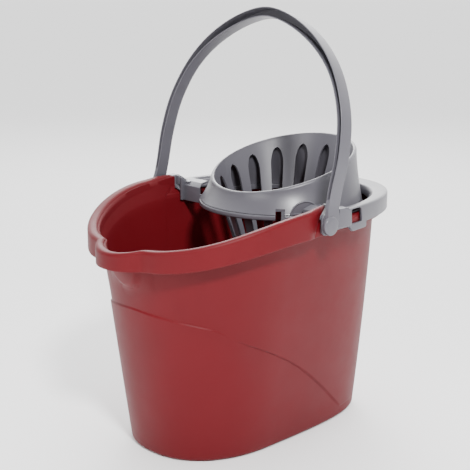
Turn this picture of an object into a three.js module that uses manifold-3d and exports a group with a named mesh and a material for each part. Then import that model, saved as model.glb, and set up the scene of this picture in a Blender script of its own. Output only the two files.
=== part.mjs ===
// Oval mop bucket with a clip-on collar, a lift-out wringer basket and a swing-over bail.
// Millimetres, +Z up. +X is the bucket's right side, -Y its pouring spout, +Y its wringer end.
// The sub-parts are modelled about the bucket's widest section, where y = 0, and the whole
// object is then moved so that the origin is the centre of its box on the floor.

import * as THREE from 'three';
import { mergeVertices } from 'three/addons/utils/BufferGeometryUtils.js';
import Module from 'manifold-3d';

const wasm = await Module();
wasm.setup();

// ---------------------------------------------------------------- driving dimensions

const GAP = 0.4; // between pieces that touch on the real object
const WALL = 2.5; // moulded wall of every piece

// Plan outlines: half a superellipse to the front and half to the back of the widest section.
const RIM = { halfWidth: 140, front: 154, back: 232, frontPower: 2.12, backPower: 2.6 };
const BASE = { halfWidth: 88, front: 110, back: 193, frontPower: 2.27, backPower: 3.7 };
const BODY_INSET = 16; // body wall under the rim's skirt, in from the rim's outline
const DECK_HOLE = { halfWidth: 121.3, front: 121.3, back: 206, frontPower: 2, backPower: 2.6 };

const RIM_TOP_FRONT = 252.7;
const RIM_TOP_SHOULDER = 289.3;
const RIM_TOP_BACK = 278;
const RIM_SWEEP_POWER = 1.3;
const SHOULDER_Y = 17;
const SHOULDER_STEP = 1.5; // the rim drops to its back height over this length
const SHOULDER_OUTER_END_Y = 18.5; // the shoulder's top ends on a slanting line, from here outside
const SHOULDER_INNER_END_Y = 44; // to here inside
const SKIRT_BACK_Y = 44;
const SKIRT_DEPTH_FRONT = 23.4;
const SKIRT_DEPTH_SHOULDER = 31.9;
const SKIRT_BOTTOM_BACK = 257;
const RIM_WIDTH = 12;
const RIM_ROUND = 2;
const COLLAR_RECESS = 3.2; // the skirt steps in by this under the collar's band
const RECESS_START_Y = 13.4;

const SPOUT_REACH = 12.5;
const SPOUT_HALF_WIDTH = 37;
const SPOUT_CREASE = 3; // depth of the crease at each side of the spout
const SPOUT_DIP = 4;
const SPOUT_BODY_START = 0.86; // share of the body's height where the spout starts to swell
const SPOUT_BODY_SHARE = 0.4; // share of the spout's reach that the body has under the rim

const FOOT_RISE = 3; // the underside stands this far clear inside the foot ring
const FOOT_INNER = 13;
const FOOT_OUTER = 4;
const FLOOR_THICKNESS = 3;

const COLLAR_TOP = 281.3;
const COLLAR_BAND_BOTTOM = 260.7;
const COLLAR_LIP_BOTTOM = 273;
const COLLAR_LIP_WALL = 1.8;
const COLLAR_BAND_START_Y = 19.5;
const COLLAR_PLATE_UNDER = RIM_TOP_BACK + GAP;
const SADDLE_TOP = 287;
const SADDLE_RIDGE = 4;
const SADDLE_LENGTH = 17;
const DECK_NOTCH = { x: 81.5, y: 177.5, size: 15 };

const RING = { halfWidth: 100.6, front: 99.3, back: 99.3, frontPower: 2, backPower: 2 };
const RING_CENTRE_Y = 105.6;
const RING_BOTTOM = 262;
const RING_TOP = 268.2;
const RING_WIDTH = 5;

const ARM_FRONT_Y = 50;
const ARM_BACK_Y = 72;
const ARM_BOTTOM = 257;
const ARM_OUTER_X = 118;
const ARM_INNER_X = 84;
const ARM_CLEARANCE_RADIUS = 103.4;

const PIVOT_Y = 28.2;
const PIVOT_Z = 270.4;
const PIVOT_RADIUS = 5;
const PIVOT_CLEARANCE = 0.3;
const EAR_INNER_X = 137.2;
const EAR_OUTER_X = 142.3;
const EAR_FRONT_Y = 18.3;
const EAR_BACK_Y = 39.3;
const EAR_TOP = 283;
const EAR_BOTTOM = 257;
const STOP_FRONT_Y = 39.1; // at the bottom; the front face leans back as the bail's legs do
const STOP_BACK_Y = 63.5;
const STOP_TOP = 286.8;
const STOP_BOTTOM = 265.3;
const STOP_OUTER_X = 147.8;

const CLIP_WINDOW = { front: 78, back: 97, bottom: 265, top: 280 };
const CLIP_HOOK = { front: 66, back: 112, bottom: 253.6, slant: 9 };

const WRINGER_RIM_CENTRE_Y = 109.4;
const WRINGER_RIM_HEIGHT = 315.1;
const WRINGER_RIM_HALF_WIDTH = 88.5;
const WRINGER_RIM_HALF_LENGTH = 89.4;
const WRINGER_RIM_SLOPE = Math.tan(THREE.MathUtils.degToRad(15.7));
const CONE_CENTRE_Y = 101;
const CONE_RADIUS = 85; // inner face, at the height of the rim's centre
const CONE_SLOPE = 0.33;
const CONE_FLOOR = 190;
const SLOT_COUNT = 16;
const SLOT_WIDTH = 16;
const SLOT_BELOW_RIM = 12.5;
const SLOT_BOTTOM = 204;
const DRAIN_HOLE_RADIUS = 4;
const DRAIN_HOLE_CIRCLE = 24;

const TAB_ANGLE = THREE.MathUtils.degToRad(-30);
const TAB_HALF_WIDTH = 18;
const TAB_TOP = 285;
const NOTCH_ANGLE = THREE.MathUtils.degToRad(-46);
const NOTCH_WIDTH = 12;

const BAIL_HALF_SPAN = 149.9;
const BAIL_HEIGHT = 235;
const BAIL_LEG_THICKNESS = 7.2;
const BAIL_GRIP_THICKNESS = 14;
const BAIL_FRONT = 7; // the section's reach before and behind the line through the pivots
const BAIL_BACK = 11.1;
const BAIL_SPAN_POWER = 1.5;
const BAIL_HEIGHT_POWER = 3.49;
const BAIL_CROWN_ROUND = 5; // rounds the very top of the arch
const BAIL_LEAN = THREE.MathUtils.degToRad(13.8);
const BAIL_BOSS_RADIUS = 10.6;
const BAIL_CHANNEL_WALL = 2.2;
const BAIL_WEB = 3;

const ROUND_SEGMENTS = 128;
const CIRCLE_SEGMENTS = 32;

const red = new THREE.MeshStandardMaterial({ color: '#a83a44', roughness: 0.42, metalness: 0 });
const grey = new THREE.MeshStandardMaterial({ color: '#8d8b93', roughness: 0.45, metalness: 0 });

// ---------------------------------------------------------------- solids from geometries

/** A closed three.js geometry as a solid that can be joined and cut. */
function toSolid(geometry) {
  const bare = geometry.clone();
  bare.deleteAttribute('normal');
  bare.deleteAttribute('uv');
  const merged = mergeVertices(bare, 1e-4);
  const vertProperties = new Float32Array(merged.attributes.position.array);
  const triVerts = new Uint32Array(merged.index.array);
  if (signedVolume(vertProperties, triVerts) < 0) {
    for (let i = 0; i < triVerts.length; i += 3) {
      [triVerts[i], triVerts[i + 1]] = [triVerts[i + 1], triVerts[i]];
    }
  }
  return new wasm.Manifold(new wasm.Mesh({ numProp: 3, vertProperties, triVerts }));
}

function signedVolume(positions, indices) {
  const corners = [new THREE.Vector3(), new THREE.Vector3(), new THREE.Vector3()];
  let volume = 0;
  for (let i = 0; i < indices.length; i += 3) {
    corners.forEach((corner, k) => corner.fromArray(positions, 3 * indices[i + k]));
    volume += corners[0].dot(corners[1].cross(corners[2])) / 6;
  }
  return volume;
}

function toMesh(name, solid, material) {
  const { vertProperties, triVerts } = solid.getMesh();
  const geometry = new THREE.BufferGeometry();
  geometry.setAttribute('position', new THREE.BufferAttribute(vertProperties, 3));
  geometry.setIndex(new THREE.BufferAttribute(triVerts, 1));
  const mesh = new THREE.Mesh(geometry, material);
  mesh.name = name;
  return mesh;
}

/** A block from its lowest corner to its highest. */
function block(low, high) {
  const size = high.map((value, k) => value - low[k]);
  const geometry = new THREE.BoxGeometry(...size);
  geometry.translate(...low.map((value, k) => value + size[k] / 2));
  return toSolid(geometry);
}

/** A round bar along X between two x values. */
function barAlongX(fromX, toX, y, z, radius) {
  const geometry = new THREE.CylinderGeometry(radius, radius, toX - fromX, CIRCLE_SEGMENTS);
  geometry.rotateZ(Math.PI / 2);
  geometry.translate((fromX + toX) / 2, y, z);
  return toSolid(geometry);
}

/** An outline drawn in the Y-Z plane, extruded along X between two x values. */
function extrudeAlongX(points, fromX, toX) {
  const shape = new THREE.Shape(points.map(([y, z]) => new THREE.Vector2(y, z)));
  const geometry = new THREE.ExtrudeGeometry(shape, { depth: toX - fromX, bevelEnabled: false });
  geometry.applyMatrix4(new THREE.Matrix4().set(0, 0, 1, fromX, 1, 0, 0, 0, 0, 1, 0, 0, 0, 0, 0, 1));
  return toSolid(geometry);
}

/**
 * A solid swept around the vertical axis: a lathe whose points are then put in place, so that
 * the sweep can follow an oval plan. place(k, angle) gives the k-th section point at an angle.
 */
function sweep(sectionLength, angles, place) {
  const section = Array.from({ length: sectionLength }, (_, k) => new THREE.Vector2(1, k));
  const geometry = new THREE.LatheGeometry(section, angles.length - 1);
  const position = geometry.attributes.position;
  angles.forEach((angle, i) => {
    for (let k = 0; k < sectionLength; k++) {
      position.setXYZ(i * sectionLength + k, ...place(k, angle));
    }
  });
  return toSolid(geometry);
}

function evenAngles(count) {
  return Array.from({ length: count + 1 }, (_, i) => (2 * Math.PI * (i % count)) / count);
}

/** Mirrored copy on the other side of the X = 0 plane, joined to the original. */
function onBothSides(solid) {
  return solid.add(solid.mirror([1, 0, 0]));
}

const mix = THREE.MathUtils.lerp;
const smooth = THREE.MathUtils.smoothstep;

// ---------------------------------------------------------------- plan outlines and heights

/** The point of an outline, set in by an inset, in the direction of an angle. */
function outlinePoint(outline, inset, angle) {
  const c = Math.cos(angle);
  const s = Math.sin(angle);
  const length = (s < 0 ? outline.front : outline.back) - inset;
  const power = s < 0 ? outline.frontPower : outline.backPower;
  const halfWidth = outline.halfWidth - inset;
  const across = Math.abs(c / halfWidth) ** power;
  const along = Math.abs(s / length) ** power;
  const radius = (across + along) ** (-1 / power);
  return [radius * c, radius * s];
}

/** The angle at which the rim's outline reaches a y, on the right-hand side. */
function rimAngleAt(y) {
  const share = 1 - Math.abs(y / RIM.back) ** RIM.backPower;
  return Math.atan2(y, RIM.halfWidth * share ** (1 / RIM.backPower));
}

/** How far the spout stands out past the rim's outline, at an x across the front. */
function spoutReach(x) {
  const across = Math.abs(x) / SPOUT_HALF_WIDTH;
  const lobe = across < 1 ? SPOUT_REACH * (1 - across ** 2) ** 0.8 : 0;
  const crease = SPOUT_CREASE * Math.exp(-(((across - 1.08) / 0.16) ** 2));
  return lobe - crease;
}

function spoutShare(x) {
  return Math.max(0, 1 - (x / SPOUT_HALF_WIDTH) ** 2);
}

/** Share of the way from the front of the rim back to the shoulder. */
function towardsShoulder(y) {
  return THREE.MathUtils.clamp((y + RIM.front) / (SHOULDER_Y + RIM.front), 0, 1);
}

/** The sweep of the rim's top as seen from the side, without the spout's dip. */
function rimLine(y) {
  const rise = Math.sin((towardsShoulder(y) * Math.PI) / 2) ** RIM_SWEEP_POWER;
  return mix(RIM_TOP_FRONT, RIM_TOP_SHOULDER, rise);
}

function rimTop(x, y) {
  if (y > SHOULDER_OUTER_END_Y + SHOULDER_STEP / 2) return RIM_TOP_BACK;
  return rimLine(y) - (y < 0 ? SPOUT_DIP * spoutShare(x) : 0);
}

function skirtBottom(y) {
  const depth = mix(SKIRT_DEPTH_FRONT, SKIRT_DEPTH_SHOULDER, towardsShoulder(y));
  const towardsBack = smooth(y, SHOULDER_Y, SKIRT_BACK_Y);
  return mix(rimLine(y) - depth, SKIRT_BOTTOM_BACK, towardsBack);
}

/** A closed section swept along an outline, from points [outline, inset, z]. */
function flangeRing(points) {
  const closed = [...points, points[0]];
  return sweep(closed.length, evenAngles(ROUND_SEGMENTS), (k, angle) => {
    const [outline, inset, z] = closed[k];
    return [...outlinePoint(outline, inset, angle), z];
  });
}

const FAR = 400; // beyond the object on every side

function behind(y) {
  return block([-FAR, y, 0], [FAR, FAR, FAR]);
}

/** Everything behind the slanting line on each side where the shoulder's top ends. */
function behindShoulder(gap) {
  const inner = RIM.halfWidth - RIM_WIDTH;
  const steps = [
    [FAR, SHOULDER_OUTER_END_Y + gap],
    [RIM.halfWidth, SHOULDER_OUTER_END_Y + gap],
    [inner, SHOULDER_INNER_END_Y + gap],
    [0, SHOULDER_INNER_END_Y + gap],
    [0, FAR],
    [FAR, FAR],
  ];
  const shape = new THREE.Shape(steps.map(([x, y]) => new THREE.Vector2(x, y)));
  const geometry = new THREE.ExtrudeGeometry(shape, { depth: FAR, bevelEnabled: false });
  return onBothSides(toSolid(geometry));
}

// ---------------------------------------------------------------- bucket shell

/** Section of the shell at one angle, from the underside's centre up, over and down inside. */
function shellSection(angle) {
  const [rimX, rimY] = outlinePoint(RIM, 0, angle);
  const top = rimTop(rimX, rimY);
  const hem = skirtBottom(rimY);
  const recess = COLLAR_RECESS * smooth(rimY, RECESS_START_Y, RECESS_START_Y + 3);
  const bodyTop = { ...RIM };
  for (const key of ['halfWidth', 'front', 'back']) bodyTop[key] -= BODY_INSET;

  const onBody = (height, inset) => {
    const share = height / hem;
    const outline = {};
    for (const key in BASE) outline[key] = mix(BASE[key], bodyTop[key], share);
    const [x, y] = outlinePoint(outline, inset, angle);
    if (y > 0) return [x, y, height];
    const below = SPOUT_BODY_SHARE * smooth(share, SPOUT_BODY_START, 1);
    const above = (1 - SPOUT_BODY_SHARE) * smooth(share, 1, top / hem);
    return [x, y - spoutReach(x) * (below + above), height];
  };
  const onRim = (inset, height) => {
    const [x, y] = outlinePoint(RIM, inset, angle);
    return [x, y < 0 ? y - spoutReach(x) : y, height];
  };
  const foot = (inset, height) => [...outlinePoint(BASE, inset, angle), height];

  return [
    [0, 0, FOOT_RISE],
    foot(FOOT_INNER + 3, FOOT_RISE),
    foot(FOOT_INNER, 0),
    foot(FOOT_OUTER, 0),
    foot(1, 1.5),
    onBody(6, 0),
    onBody(hem * 0.35, 0),
    onBody(hem * 0.72, 0),
    onBody(hem * 0.86, 0),
    onBody(hem, 0),
    onBody(top - WALL, 0),
    onRim(WALL + recess, top - WALL),
    onRim(WALL + recess, hem),
    onRim(recess, hem),
    onRim(recess, top - RIM_ROUND),
    onRim(RIM_ROUND + recess, top),
    onRim(RIM_WIDTH - 1, top),
    onBody(top - RIM_ROUND, WALL),
    onBody(hem, WALL),
    onBody(hem * 0.86, WALL),
    onBody(hem * 0.72, WALL),
    onBody(hem * 0.35, WALL),
    onBody(FOOT_RISE + FLOOR_THICKNESS + 6, WALL),
    onBody(FOOT_RISE + FLOOR_THICKNESS + 1, WALL + 3),
    foot(FOOT_INNER, FOOT_RISE + FLOOR_THICKNESS),
    [0, 0, FOOT_RISE + FLOOR_THICKNESS],
  ];
}

function bucketShell() {
  const steps = [
    RECESS_START_Y,
    RECESS_START_Y + 3,
    SHOULDER_OUTER_END_Y,
    SHOULDER_OUTER_END_Y + SHOULDER_STEP,
  ].map(rimAngleAt);
  const even = evenAngles(ROUND_SEGMENTS).slice(0, -1);
  const extra = steps.flatMap((angle) => [angle, Math.PI - angle]);
  const apart = even.filter((angle) => extra.every((other) => Math.abs(other - angle) > 0.012));
  const angles = [...apart, ...extra].sort((a, b) => a - b);
  angles.push(angles[0]);
  const sections = new Map(angles.map((angle) => [angle, shellSection(angle)]));
  const count = sections.get(angles[0]).length;
  const shell = sweep(count, angles, (k, angle) => sections.get(angle)[k]);

  const wedgeY = (CLIP_WINDOW.front + CLIP_WINDOW.back) / 2;
  const wedgeX = outlinePoint(RIM, COLLAR_RECESS, rimAngleAt(wedgeY))[0];
  const wedge = new THREE.Shape([
    new THREE.Vector2(-2, CLIP_WINDOW.bottom + 1.5),
    new THREE.Vector2(2, CLIP_WINDOW.bottom + 1.5),
    new THREE.Vector2(-0.3, CLIP_WINDOW.top - 3),
    new THREE.Vector2(-2, CLIP_WINDOW.top - 3),
  ]);
  const latch = new THREE.ExtrudeGeometry(wedge, { depth: 14, bevelEnabled: false });
  latch.rotateX(Math.PI / 2);
  latch.translate(0, 7, 0);
  const facing = Math.atan2(wedgeY, RIM.halfWidth * 4);
  latch.rotateZ(facing);
  latch.translate(wedgeX, wedgeY, 0);
  return shell.add(onBothSides(toSolid(latch))).add(shoulderEnds());
}

/** The last of the high rim on each side, cut off along the slanting line. */
function shoulderEnds() {
  const top = flangeRing([
    [RIM, COLLAR_RECESS, RIM_TOP_BACK - WALL],
    [RIM, COLLAR_RECESS, RIM_TOP_SHOULDER - RIM_ROUND],
    [RIM, COLLAR_RECESS + RIM_ROUND, RIM_TOP_SHOULDER],
    [RIM, RIM_WIDTH - 1, RIM_TOP_SHOULDER],
    [RIM, RIM_WIDTH + RIM_ROUND, RIM_TOP_SHOULDER - RIM_WIDTH / 4],
    [RIM, RIM_WIDTH + RIM_ROUND, RIM_TOP_BACK - WALL],
  ]);
  return top.intersect(behind(SHOULDER_Y)).subtract(behindShoulder(0));
}

// ---------------------------------------------------------------- rim collar

/** The flat deck over the back rim, with a short lip down inside the bucket. */
function collarDeck() {
  return flangeRing([
    [RIM, WALL, COLLAR_PLATE_UNDER],
    [RIM, 0, COLLAR_PLATE_UNDER],
    [RIM, 0, COLLAR_TOP - 1],
    [RIM, 1, COLLAR_TOP],
    [DECK_HOLE, 0, COLLAR_TOP],
    [DECK_HOLE, 0, COLLAR_LIP_BOTTOM],
    [DECK_HOLE, -COLLAR_LIP_WALL, COLLAR_LIP_BOTTOM],
    [DECK_HOLE, -COLLAR_LIP_WALL, COLLAR_PLATE_UNDER],
  ]).intersect(behindShoulder(2 * GAP));
}

/** The raised saddle on each side, where the deck climbs to meet the end of the shoulder. */
function collarSaddle() {
  const profile = [
    [0, COLLAR_PLATE_UNDER],
    [0, SADDLE_TOP - 1],
    [1, SADDLE_TOP],
    [SADDLE_RIDGE, SADDLE_TOP],
    [SADDLE_LENGTH, COLLAR_TOP],
    [SADDLE_LENGTH + WALL, COLLAR_TOP],
    [SADDLE_LENGTH + WALL, COLLAR_PLATE_UNDER],
  ];
  const slant = Math.atan2(SHOULDER_INNER_END_Y - SHOULDER_OUTER_END_Y, RIM_WIDTH);
  const middle = new THREE.Matrix4()
    .makeRotationZ(-slant)
    .setPosition(RIM.halfWidth, SHOULDER_OUTER_END_Y, 0);
  const ridge = extrudeAlongX(profile, -3 * SADDLE_LENGTH, 3 * SADDLE_LENGTH);
  const over = flangeRing([
    [RIM, 0, COLLAR_PLATE_UNDER],
    [RIM, 0, SADDLE_TOP - 2],
    [RIM, 2, SADDLE_TOP],
    [DECK_HOLE, -2, SADDLE_TOP],
    [DECK_HOLE, 0, SADDLE_TOP - 2],
    [DECK_HOLE, 0, COLLAR_PLATE_UNDER],
  ]);
  return onBothSides(ridge.transform(middle.toArray()).intersect(behind(0)))
    .intersect(over)
    .intersect(behindShoulder(2 * GAP));
}

/** The upright band outside the bucket's skirt. */
function collarBand() {
  return flangeRing([
    [RIM, 0, COLLAR_BAND_BOTTOM],
    [RIM, 0, COLLAR_TOP - 1],
    [RIM, WALL, COLLAR_TOP - 1],
    [RIM, WALL, COLLAR_BAND_BOTTOM],
  ]).intersect(behind(COLLAR_BAND_START_Y));
}

/** The hook below each clip window, which snaps under the bucket's skirt. */
function clipHooks() {
  const strip = flangeRing([
    [RIM, 0, CLIP_HOOK.bottom],
    [RIM, 0, COLLAR_BAND_BOTTOM + 1],
    [RIM, WALL, COLLAR_BAND_BOTTOM + 1],
    [RIM, WALL, CLIP_HOOK.bottom],
  ]);
  const outline = [
    [CLIP_HOOK.front, COLLAR_BAND_BOTTOM + 1],
    [CLIP_HOOK.front + CLIP_HOOK.slant, CLIP_HOOK.bottom - 1],
    [CLIP_HOOK.back, CLIP_HOOK.bottom - 1],
    [CLIP_HOOK.back, COLLAR_BAND_BOTTOM + 1],
  ];
  return strip.intersect(extrudeAlongX(outline, -FAR, FAR));
}

/** The round-cornered plate that carries one end of the bail. */
function ear() {
  const corner = 5;
  const shape = new THREE.Shape();
  shape.moveTo(EAR_FRONT_Y + corner, EAR_BOTTOM);
  shape.lineTo(EAR_BACK_Y, EAR_BOTTOM);
  shape.lineTo(EAR_BACK_Y, EAR_TOP - corner);
  shape.quadraticCurveTo(EAR_BACK_Y, EAR_TOP, EAR_BACK_Y - corner, EAR_TOP);
  shape.lineTo(EAR_FRONT_Y + corner, EAR_TOP);
  shape.quadraticCurveTo(EAR_FRONT_Y, EAR_TOP, EAR_FRONT_Y, EAR_TOP - corner);
  shape.lineTo(EAR_FRONT_Y, EAR_BOTTOM + corner);
  shape.quadraticCurveTo(EAR_FRONT_Y, EAR_BOTTOM, EAR_FRONT_Y + corner, EAR_BOTTOM);
  const points = shape.getPoints(6).slice(0, -1).map((point) => [point.x, point.y]);
  return extrudeAlongX(points, EAR_INNER_X, EAR_OUTER_X);
}

/** The block behind each ear that the bail leans back on. */
function bailStop() {
  const corner = 6;
  const shape = new THREE.Shape();
  shape.moveTo(STOP_FRONT_Y, STOP_BOTTOM);
  shape.lineTo(STOP_BACK_Y, STOP_BOTTOM);
  shape.lineTo(STOP_BACK_Y, STOP_TOP - corner);
  shape.quadraticCurveTo(STOP_BACK_Y, STOP_TOP, STOP_BACK_Y - corner, STOP_TOP);
  shape.lineTo(STOP_FRONT_Y + (STOP_TOP - STOP_BOTTOM) * Math.tan(BAIL_LEAN), STOP_TOP);
  const points = shape.getPoints(6).map((point) => [point.x, point.y]);
  return extrudeAlongX(points, RIM.halfWidth - WALL, STOP_OUTER_X);
}

/** The arm that carries the wringer's ring: a front wall, a bevel and a top plate. */
function ringArm() {
  const wall = [
    [ARM_FRONT_Y, ARM_BOTTOM],
    [ARM_FRONT_Y + WALL, ARM_BOTTOM],
    [ARM_FRONT_Y + WALL, COLLAR_PLATE_UNDER - 3],
    [ARM_FRONT_Y + 9, COLLAR_PLATE_UNDER],
    [ARM_BACK_Y, COLLAR_PLATE_UNDER],
    [ARM_BACK_Y, COLLAR_TOP],
    [ARM_FRONT_Y + 8, COLLAR_TOP],
    [ARM_FRONT_Y, COLLAR_TOP - 4],
  ];
  const arm = extrudeAlongX(wall, ARM_INNER_X, ARM_OUTER_X);
  const bridge = block(
    [ARM_OUTER_X - 1, ARM_FRONT_Y + 3, COLLAR_PLATE_UNDER],
    [ARM_OUTER_X + 12, ARM_BACK_Y, COLLAR_TOP],
  );
  const clearance = new THREE.CylinderGeometry(
    ARM_CLEARANCE_RADIUS, ARM_CLEARANCE_RADIUS, FAR, 2 * CIRCLE_SEGMENTS,
  );
  clearance.rotateX(Math.PI / 2);
  clearance.translate(0, RING_CENTRE_Y, RING_TOP + FAR / 2);
  const cheek = block(
    [ARM_OUTER_X - 1.5, SHOULDER_INNER_END_Y + 3 * GAP, ARM_BOTTOM],
    [ARM_OUTER_X + 1.4, ARM_FRONT_Y + WALL, COLLAR_PLATE_UNDER + 1],
  );
  return arm.add(bridge).add(cheek).subtract(toSolid(clearance));
}

/** The ring that the wringer stands on, with a key notch at the front right. */
function wringerRing() {
  const outer = RING;
  const points = [
    [0, RING_BOTTOM + 1.5],
    [0, RING_TOP - 1],
    [1, RING_TOP],
    [RING_WIDTH, RING_TOP],
    [RING_WIDTH, RING_BOTTOM],
    [1.5, RING_BOTTOM],
    [0, RING_BOTTOM + 1.5],
  ];
  const ring = sweep(points.length, evenAngles(96), (k, angle) => {
    const [inset, z] = points[k];
    const [x, y] = outlinePoint(outer, inset, angle);
    return [x, y + RING_CENTRE_Y, z];
  });
  const notch = new THREE.BoxGeometry(3, NOTCH_WIDTH, RING_TOP - RING_BOTTOM + 2);
  notch.translate(RING.halfWidth - 0.5, 0, (RING_TOP + RING_BOTTOM) / 2);
  notch.rotateZ(NOTCH_ANGLE);
  notch.translate(0, RING_CENTRE_Y, 0);
  return ring.subtract(toSolid(notch));
}

function rimCollar() {
  const windows = block(
    [-FAR, CLIP_WINDOW.front, CLIP_WINDOW.bottom],
    [FAR, CLIP_WINDOW.back, CLIP_WINDOW.top],
  ).subtract(block([-RIM.halfWidth * 0.93, 0, 0], [RIM.halfWidth * 0.93, FAR, FAR]));
  const notch = new THREE.BoxGeometry(DECK_NOTCH.size, DECK_NOTCH.size, COLLAR_TOP);
  notch.rotateZ(-Math.PI / 4);
  notch.translate(DECK_NOTCH.x, DECK_NOTCH.y, COLLAR_TOP);
  const pivotHoles = barAlongX(-FAR, FAR, PIVOT_Y, PIVOT_Z, PIVOT_RADIUS + PIVOT_CLEARANCE);
  const rearWeb = block(
    [-26, RING_CENTRE_Y + RING.back - 1, RING_BOTTOM],
    [26, DECK_HOLE.back + 2, COLLAR_PLATE_UNDER + 1],
  );
  return collarDeck()
    .add(collarBand())
    .add(clipHooks())
    .add(collarSaddle())
    .add(onBothSides(ear()))
    .add(onBothSides(bailStop()))
    .add(onBothSides(ringArm()))
    .add(wringerRing())
    .add(rearWeb)
    .subtract(windows)
    .subtract(onBothSides(toSolid(notch)))
    .subtract(pivotHoles);
}

// ---------------------------------------------------------------- wringer basket

function coneRadius(z) {
  return CONE_RADIUS + CONE_SLOPE * (z - WRINGER_RIM_HEIGHT);
}

function wringerRimTop(angle) {
  const y = WRINGER_RIM_HALF_LENGTH * Math.sin(angle);
  return WRINGER_RIM_HEIGHT + WRINGER_RIM_SLOPE * y;
}

/** Section of the basket at one angle: floor, cone, rim, and the flared skirt outside. */
function wringerSection(angle) {
  const top = wringerRimTop(angle);
  const base = RING_TOP + GAP;
  const onCone = (z, out) => {
    const radius = coneRadius(z) + out;
    return [radius * Math.cos(angle), CONE_CENTRE_Y + radius * Math.sin(angle), z];
  };
  const onSkirt = (share, inset) => {
    const flare = (1 - share) ** 1.6;
    const rimX = WRINGER_RIM_HALF_WIDTH * Math.cos(angle);
    const rimY = WRINGER_RIM_CENTRE_Y + WRINGER_RIM_HALF_LENGTH * Math.sin(angle);
    const x = mix(rimX, (RING.halfWidth - 1) * Math.cos(angle), flare);
    const y = mix(rimY, RING_CENTRE_Y + (RING.front - 1) * Math.sin(angle), flare);
    const z = mix(base, top, share);
    return [x - inset * Math.cos(angle), y - inset * Math.sin(angle), z];
  };
  return [
    [0, CONE_CENTRE_Y, CONE_FLOOR - WALL],
    onCone(CONE_FLOOR - WALL, WALL),
    onCone(mix(CONE_FLOOR, top, 0.5), WALL),
    onCone(top - 5, WALL),
    [...onSkirt(0.86, WALL).slice(0, 2), top - 5],
    onSkirt(0.55, WALL),
    onSkirt(0.25, WALL),
    onSkirt(0, WALL + 1),
    onSkirt(0, 0),
    onSkirt(0.12, 0),
    onSkirt(0.3, 0),
    onSkirt(0.6, 0),
    onSkirt(0.95, 0),
    onSkirt(1, 1.2),
    [...onCone(top, 0.8).slice(0, 2), top],
    onCone(top - 1.6, 0),
    onCone(mix(CONE_FLOOR, top, 0.5), 0),
    onCone(CONE_FLOOR, 0),
    [0, CONE_CENTRE_Y, CONE_FLOOR],
  ];
}

/** One tall pointed slot through the cone's wall, at an angle around the basket. */
function coneSlot(angle) {
  const top = wringerRimTop(angle) - SLOT_BELOW_RIM;
  const lean = Math.atan(CONE_SLOPE);
  const length = (top - SLOT_BOTTOM) / Math.cos(lean);
  const topHalf = SLOT_WIDTH / 2;
  const bottomHalf = (topHalf * coneRadius(SLOT_BOTTOM)) / coneRadius(top);
  const shape = new THREE.Shape();
  shape.moveTo(0, 0);
  shape.quadraticCurveTo(topHalf * 0.9, -9, topHalf, -24);
  shape.lineTo(bottomHalf, -length + bottomHalf);
  shape.absarc(0, -length + bottomHalf, bottomHalf, 0, -Math.PI, true);
  shape.lineTo(-topHalf, -24);
  shape.quadraticCurveTo(-topHalf * 0.9, -9, 0, 0);
  const geometry = new THREE.ExtrudeGeometry(shape, {
    depth: 11, bevelEnabled: false, curveSegments: 5,
  });
  geometry.translate(0, 0, -6); // from 6 mm inside the wall's inner face to 5 mm outside
  geometry.rotateX(Math.PI / 2); // stands the slot up, facing -Y
  geometry.rotateZ(Math.PI / 2); // facing +X, the direction of angle zero
  geometry.rotateY(lean);
  geometry.translate(coneRadius(top), 0, top);
  geometry.rotateZ(angle);
  geometry.translate(0, CONE_CENTRE_Y, 0);
  return toSolid(geometry);
}

function drainHole(x, y) {
  const geometry = new THREE.CylinderGeometry(DRAIN_HOLE_RADIUS, DRAIN_HOLE_RADIUS, 20, 16);
  geometry.rotateX(Math.PI / 2);
  geometry.translate(x, CONE_CENTRE_Y + y, CONE_FLOOR);
  return toSolid(geometry);
}

/** The half-round thumb tab that stands on the basket's foot flange, beside the right arm. */
function thumbTab() {
  const base = RING_TOP + GAP;
  const shape = new THREE.Shape();
  shape.moveTo(-TAB_HALF_WIDTH, 0);
  shape.lineTo(TAB_HALF_WIDTH, 0);
  shape.absellipse(0, 0, TAB_HALF_WIDTH, TAB_TOP - base, 0, Math.PI, false);
  const geometry = new THREE.ExtrudeGeometry(shape, {
    depth: WALL, bevelEnabled: false, curveSegments: 12,
  });
  geometry.rotateX(Math.PI / 2);
  geometry.rotateZ(Math.PI / 2);
  geometry.translate(RING.halfWidth - WALL, 0, base);
  const ledge = new THREE.BoxGeometry(10, 2 * TAB_HALF_WIDTH, WALL);
  ledge.translate(RING.halfWidth - 5, 0, base + WALL / 2);
  const tab = toSolid(geometry).add(toSolid(ledge));
  const turn = new THREE.Matrix4().makeRotationZ(TAB_ANGLE).setPosition(0, RING_CENTRE_Y, 0);
  return tab.transform(turn.toArray());
}

function wringerBasket() {
  const sections = new Map(evenAngles(96).map((angle) => [angle, wringerSection(angle)]));
  const count = wringerSection(0).length;
  let basket = sweep(count, evenAngles(96), (k, angle) => sections.get(angle)[k]);
  for (let i = 0; i < SLOT_COUNT; i++) {
    basket = basket.subtract(coneSlot(Math.PI / 2 + (2 * Math.PI * i) / SLOT_COUNT));
  }
  basket = basket.subtract(drainHole(0, 0));
  for (let i = 0; i < 6; i++) {
    const angle = (Math.PI * i) / 3;
    const x = DRAIN_HOLE_CIRCLE * Math.cos(angle);
    basket = basket.subtract(drainHole(x, DRAIN_HOLE_CIRCLE * Math.sin(angle)));
  }
  return basket.add(thumbTab());
}

// ---------------------------------------------------------------- bail handle

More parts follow.
